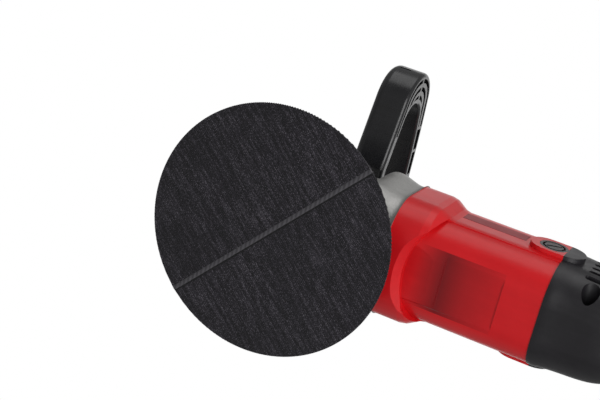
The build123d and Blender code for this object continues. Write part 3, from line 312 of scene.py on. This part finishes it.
# half of the foam's section, as (radius, height), from its axis out round the rim and back
profile = [
    (0.0, 0.0), (rim - 0.0012, 0.0), (rim - 0.0002, 0.0005), (rim, 0.0013), (rim - 0.0004, 0.0021),
    (rim - 0.0022, 0.0028), (rim - 0.010, 0.0040), (rim - 0.020, 0.0057), (rim - 0.029, 0.0077),
    (plate_radius + 0.0018, tall - 0.0009), (plate_radius + 0.0002, tall - 0.0002),
    (plate_radius - 0.004, tall), (0.0, tall),
]
bpy.ops.mesh.primitive_plane_add(size=0.001)
foam = bpy.context.object
foam.name = "foam_cushion"
bpy.ops.object.mode_set(mode="EDIT")
bpy.ops.mesh.delete(type="VERT")
bpy.ops.object.mode_set(mode="OBJECT")
foam.data.vertices.add(len(profile))
for vertex, (radius, height) in zip(foam.data.vertices, profile):
    vertex.co = (radius, 0, foam_low.z + height)
foam.data.edges.add(len(profile) - 1)
for index, edge in enumerate(foam.data.edges):
    edge.vertices = (index, index + 1)
foam.data.update()
bpy.ops.object.mode_set(mode="EDIT")
bpy.ops.mesh.select_all(action="SELECT")
bpy.ops.mesh.spin(steps=180, angle=2 * math.pi, center=(0, 0, 0), axis=(0, 0, 1))
bpy.ops.mesh.select_all(action="SELECT")
bpy.ops.mesh.remove_doubles(threshold=0.00001)
bpy.ops.mesh.normals_make_consistent(inside=False)
bpy.ops.object.mode_set(mode="OBJECT")
unevenness = 0.00018  # of the foam's flank, at the rim
for vertex in foam.data.vertices:
    out_share = math.hypot(vertex.co.x, vertex.co.y) / rim
    swell = unevenness * out_share * noise.noise(Vector(vertex.co) * 45)
    if foam_low.z + 0.001 < vertex.co.z < foam_high.z - 0.0001:
        vertex.co.z += swell
bpy.ops.object.shade_smooth_by_angle(angle=math.radians(50))
foam_finish, node, coat = new_finish("foam_skin", Sheen_Weight=0.05)
place = node("TexCoord").outputs["Object"]
pits = node("TexVoronoi", {"feature": "F1"}, Vector=place, Scale=1400.0, Randomness=1.0).outputs["Distance"]
clouds = node("TexNoise", Vector=place, Scale=35.0, Detail=4.0).outputs["Fac"]
skin = ramp(node, clouds, (0.3, (0.018, 0.018, 0.020)), (0.7, (0.033, 0.033, 0.036)))
coat(skin, spread(node, clouds, 0.75, 0.95), pits, 0.5, 0.0003)
foam.data.materials.append(foam_finish)
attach(foam, "pad")
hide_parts("pad_cushion")
bpy.ops.object.select_all(action="DESELECT")


# ---------------------------------------------------------------------------------------------
# Backing plate, black rear housing and controls: nylon filled with glass, moulded with a fine spark
# texture. The halves of the housing are screwed together, and handling has polished them in places.
def paint_over(material, *names):
    """Gives the material to these CAD pieces, whatever they had."""
    for name in names:
        nodes[name].data.materials.clear()
        nodes[name].data.materials.append(material)


middling = {"From_Min": 0.3, "From_Max": 0.7}  # where nearly all of a noise's values lie


def weighed(node, first, first_share, second, second_share):
    """The sum of two values, each times its share."""
    return maths(node, "MULTIPLY_ADD", first, first_share, maths(node, "MULTIPLY", second, second_share))


def moulded(name, dark, light, smooth, rough, grain, depth, over=None, **values):
    """Moulded plastic: cloudy colour from dark to light, patchy gloss, grain of that size and depth.

    over, if given, makes the final colour out of the cloudy one."""
    material, node, coat = new_finish(name, **values)
    place = node("TexCoord").outputs["Object"]
    clouds = node("TexNoise", Vector=place, Scale=24.0, Detail=5.0, Roughness=0.6).outputs["Fac"]
    rubbed = node("TexNoise", Vector=place, Scale=70.0, Detail=6.0, Roughness=0.7).outputs["Fac"]
    skin = node("TexNoise", Vector=place, Scale=1.0 / grain, Detail=2.0, Roughness=0.5).outputs["Fac"]
    drawn = node("Mapping", Vector=place, Scale=(0.06, 1.0, 1.0)).outputs["Vector"]
    flow = node("TexNoise", Vector=drawn, Scale=260.0, Detail=3.0).outputs["Fac"]
    colour = ramp(node, weighed(node, flow, 0.35, clouds, 0.75), (0.35, dark), (0.72, light))
    if over is not None:
        colour = over(node, place, colour)
    coat(colour, spread(node, rubbed, smooth, rough, **middling), skin, 0.35, depth)
    return material


black_nylon = moulded("black_nylon", (0.0070, 0.0062, 0.0080), (0.0140, 0.0125, 0.0155), 0.34, 0.5,
                      0.00035, 0.00006)
paint_over(black_nylon, "backing_plate", "rear_housing_left", "rear_housing_right", "trigger", "switch_body",
           "cord_clamp", "fan_baffle")
dial_plastic = moulded("dial_plastic", (0.012, 0.012, 0.013), (0.022, 0.022, 0.024), 0.3, 0.42,
                       0.0006, 0.00005)
paint_over(dial_plastic, "speed_dial", "lock_button", "brush_holders")

# D handle: one thick black moulding, bolted over the gear head. Its palm side is polished by the
# mould and by hands, and its open back shows the ribs.
handle_nylon = moulded("handle_nylon", (0.006, 0.006, 0.007), (0.013, 0.013, 0.015), 0.2, 0.36,
                       0.0012, 0.00005, Coat_Weight=0.25, Coat_Roughness=0.22)
paint_over(handle_nylon, "d_handle")

# Motor housing: one red moulding in glossy nylon, with flow marks along it and a very fine orange
# peel. It is bolted to the gear head from inside. Underneath, where the scoop meets the label recess
# behind it, shade is painted into the red as a darker red.
housing_low, housing_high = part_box("motor_housing")
recess_front = housing_low.x + 0.023  # the scoop before the label recess starts here
recess_back = housing_low.x + 0.085  # and the recess ends here
recess_half = 0.0271  # half width of both
recess_top = housing_low.z + 0.0086  # just above the floor of the scoop


def painted_recess_shade(node, place, red):
    """The red, darkened by painted shade where the label recess meets the scoop before it, fading both ways.
    """
    x, y, z = node("SeparateXYZ", Vector=place).outputs
    along = spread(node, x, 0.0, 1.0, From_Min=recess_front, From_Max=recess_back)
    # How strong the painted shade is along the recess: strongest where it meets the scoop.
    depth = ramp(node, along, (0.0, grey(0.0)), (0.30, grey(0.72)), (0.34, grey(0.80)), (0.6, grey(0.45)),
                 (0.99, grey(0.12)), (1.0, grey(0.0)))
    side = maths(node, "COMPARE", y, 0.0, recess_half)
    under = maths(node, "LESS_THAN", z, recess_top)
    amount = maths(node, "MULTIPLY", maths(node, "MULTIPLY", side, under), depth)
    # Painted shade: a dark red mixed into the housing's red over the scoop and label recess.
    return mixed(node, amount, red, (0.10, 0.002, 0.004, 1))


red_nylon = moulded("red_nylon", (0.62, 0.006, 0.010), (0.72, 0.009, 0.014), 0.3, 0.36, 0.0016, 0.00002,
                    over=painted_recess_shade, Specular_IOR_Level=0.42)
paint_over(red_nylon, "motor_housing")

# Side strips: plain darker panels let into the sides of the motor housing, in smooth matt film.
strip_film = moulded("strip_film", (0.27, 0.008, 0.014), (0.33, 0.010, 0.017), 0.4, 0.5, 0.0008, 0.00003)
paint_over(strip_film, "side_strips")

# Brush caps: hard black screw plugs, turned, with a groove and a slot for a coin.
cap_plastic = moulded("cap_plastic", (0.020, 0.017, 0.018), (0.045, 0.038, 0.040), 0.3, 0.45, 0.0005, 0.00006)
paint_over(cap_plastic, "brush_caps")


# ---------------------------------------------------------------------------------------------
# Gear head: pressure-cast aluminium, blasted and left bare, so it is dull, grainy and a little
# uneven in colour. The counterweight and eccentric are the same metal, rougher.
def cast(name, dark, light, smooth, rough, depth):
    """Bare cast metal: crystals, faint clouds and blasted grain of that depth."""
    material, node, coat = new_finish(name, Metallic=0.85)
    place = node("TexCoord").outputs["Object"]
    clouds = node("TexNoise", Vector=place, Scale=40.0, Detail=6.0, Roughness=0.65).outputs["Fac"]
    crystals = node("TexVoronoi", {"feature": "F1"}, Vector=place, Scale=900.0).outputs["Distance"]
    blasted = node("TexNoise", Vector=place, Scale=1300.0, Detail=3.0, Roughness=0.7).outputs["Fac"]
    colour = ramp(node, weighed(node, blasted, 0.45, clouds, 0.6), (0.35, dark), (0.7, light))
    height = maths(node, "ADD", blasted, crystals)
    coat(colour, spread(node, clouds, smooth, rough, **middling), height, 0.5, depth)
    return material


cast_aluminium = cast("cast_aluminium", (0.33, 0.325, 0.315), (0.56, 0.555, 0.54), 0.40, 0.58, 0.00025)
paint_over(cast_aluminium, "gear_head")
rough_casting = cast("rough_casting", (0.20, 0.20, 0.205), (0.34, 0.34, 0.345), 0.5, 0.7, 0.0003)
paint_over(rough_casting, "counterweight", "eccentric")


# ---------------------------------------------------------------------------------------------
# Turned and ground steel: shafts, spindles, gears, bearings and clips. The marks of the tool run
# round each piece, and a film of oil makes the shine uneven.
def turned(name, dark, light, smooth, rough, around, metallic=1.0):
    """Machined metal with tool marks round the axis around, "X" or "Z"."""
    material, node, coat = new_finish(name, Metallic=metallic)
    place = node("TexCoord").outputs["Object"]
    stretch = (1.0, 0.04, 0.04) if around == "X" else (0.04, 0.04, 1.0)
    stretched = node("Mapping", Vector=place, Scale=stretch).outputs["Vector"]
    marks = node("TexNoise", Vector=stretched, Scale=2200.0, Detail=3.0, Roughness=0.6).outputs["Fac"]
    film = node("TexNoise", Vector=place, Scale=90.0, Detail=4.0).outputs["Fac"]
    colour = ramp(node, weighed(node, marks, 0.5, film, 0.5), (0.35, dark), (0.65, light))
    coat(colour, spread(node, film, smooth, rough, **middling), marks, 0.25, 0.00005)
    return material


spindle_steel = turned("spindle_steel", (0.42, 0.42, 0.43), (0.62, 0.62, 0.63), 0.2, 0.38, "Z")
paint_over(spindle_steel, "pad_stud", "pad_spindle", "output_spindle", "crown_gear", "eccentric_bearing",
           "bearing_clip", "spindle_bearing_lower", "spindle_bearing_upper")
shaft_steel = turned("shaft_steel", (0.40, 0.40, 0.41), (0.60, 0.60, 0.61), 0.2, 0.38, "X")
paint_over(shaft_steel, "armature_shaft", "pinion", "armature_bearing_front", "armature_bearing_rear",
           "trigger_pin", "brush_springs")

# Screws and bolts: steel with bright zinc plate, which has a faint blue and yellow bloom.
zinc_plate = turned("zinc_plate", (0.45, 0.46, 0.49), (0.66, 0.66, 0.64), 0.25, 0.42, "Z")
paint_over(zinc_plate, "skirt_screws", "handle_bolts", "head_bolts", "housing_screws")

# Skirt: pressed sheet steel with a black oxide finish, rubbed brighter in places.
oxide_skirt = turned("oxide_skirt", (0.022, 0.022, 0.024), (0.06, 0.06, 0.062), 0.35, 0.55, "Z", 0.7)
paint_over(oxide_skirt, "skirt")


# ---------------------------------------------------------------------------------------------
# Armature and stator: stacks of thin silicon-steel sheets, so fine lines run round them, and coils
# of varnished copper wire laid side by side along the motor.
def banded(name, dark, light, pitch, along, roughness, depth, metallic):
    """Fine parallel lines, one each pitch, square to the axis along."""
    material, node, coat = new_finish(name, Metallic=metallic)
    place = node("TexCoord").outputs["Object"]
    lines = node("TexWave", {"wave_type": "BANDS", "bands_direction": along}, Vector=place,
                 Scale=2 * math.pi / (20 * pitch), Distortion=0.5, Detail=2.0).outputs["Fac"]
    stains = node("TexNoise", Vector=place, Scale=120.0, Detail=4.0).outputs["Fac"]
    tone = maths(node, "MULTIPLY", lines, spread(node, stains, 0.5, 1.2))
    colour = ramp(node, tone, (0.1, dark), (0.8, light))
    coat(colour, spread(node, stains, roughness * 0.7, roughness * 1.3), lines, 0.6, depth)
    return material


steel_sheets = banded("steel_sheets", (0.09, 0.09, 0.10), (0.30, 0.30, 0.31), 0.0006, "X", 0.4, 0.0001, 0.9)
paint_over(steel_sheets, "armature_core", "stator")
copper_wire = banded("copper_wire", (0.20, 0.055, 0.02), (0.62, 0.24, 0.10), 0.0009, "Y", 0.35, 0.0003, 0.8)
paint_over(copper_wire, "armature_windings", "field_coils")

# Commutator: bars of drawn copper side by side, which the brushes keep bright. The brushes are
# pressed carbon, dull and dusty, and the fan is white nylon.
copper_bars = banded("copper_bars", (0.25, 0.09, 0.04), (0.68, 0.33, 0.18), 0.0022, "Z", 0.3, 0.0001, 0.95)
paint_over(copper_bars, "commutator")
carbon_block = moulded("carbon_block", (0.010, 0.010, 0.010), (0.030, 0.030, 0.031), 0.45, 0.7,
                       0.0003, 0.0001)
paint_over(carbon_block, "brushes")
white_nylon = moulded("white_nylon", (0.55, 0.55, 0.53), (0.68, 0.68, 0.66), 0.35, 0.5, 0.0006, 0.00005)
paint_over(white_nylon, "fan")

# Speed board: green varnished glass board with copper tracks under the varnish.
speed_board, node, coat = new_finish("speed_board", Coat_Weight=0.4, Coat_Roughness=0.2)
place = node("TexCoord").outputs["Object"]
tracks = node("TexVoronoi", {"feature": "F1", "distance": "MANHATTAN"},
              Vector=place, Scale=260.0).outputs["Distance"]
varnish = ramp(node, tracks, (0.35, (0.008, 0.07, 0.025)), (0.5, (0.03, 0.15, 0.05)))
coat(varnish, spread(node, tracks, 0.3, 0.5))
paint_over(speed_board, "control_board")

# Rubber: the gland that takes the lead, and the sleeve that cushions the rear bearing.
soft_rubber = moulded("soft_rubber", (0.011, 0.011, 0.011), (0.021, 0.021, 0.022), 0.6, 0.8, 0.0004, 0.0001)
paint_over(soft_rubber, "cable_gland", "bearing_sleeve")
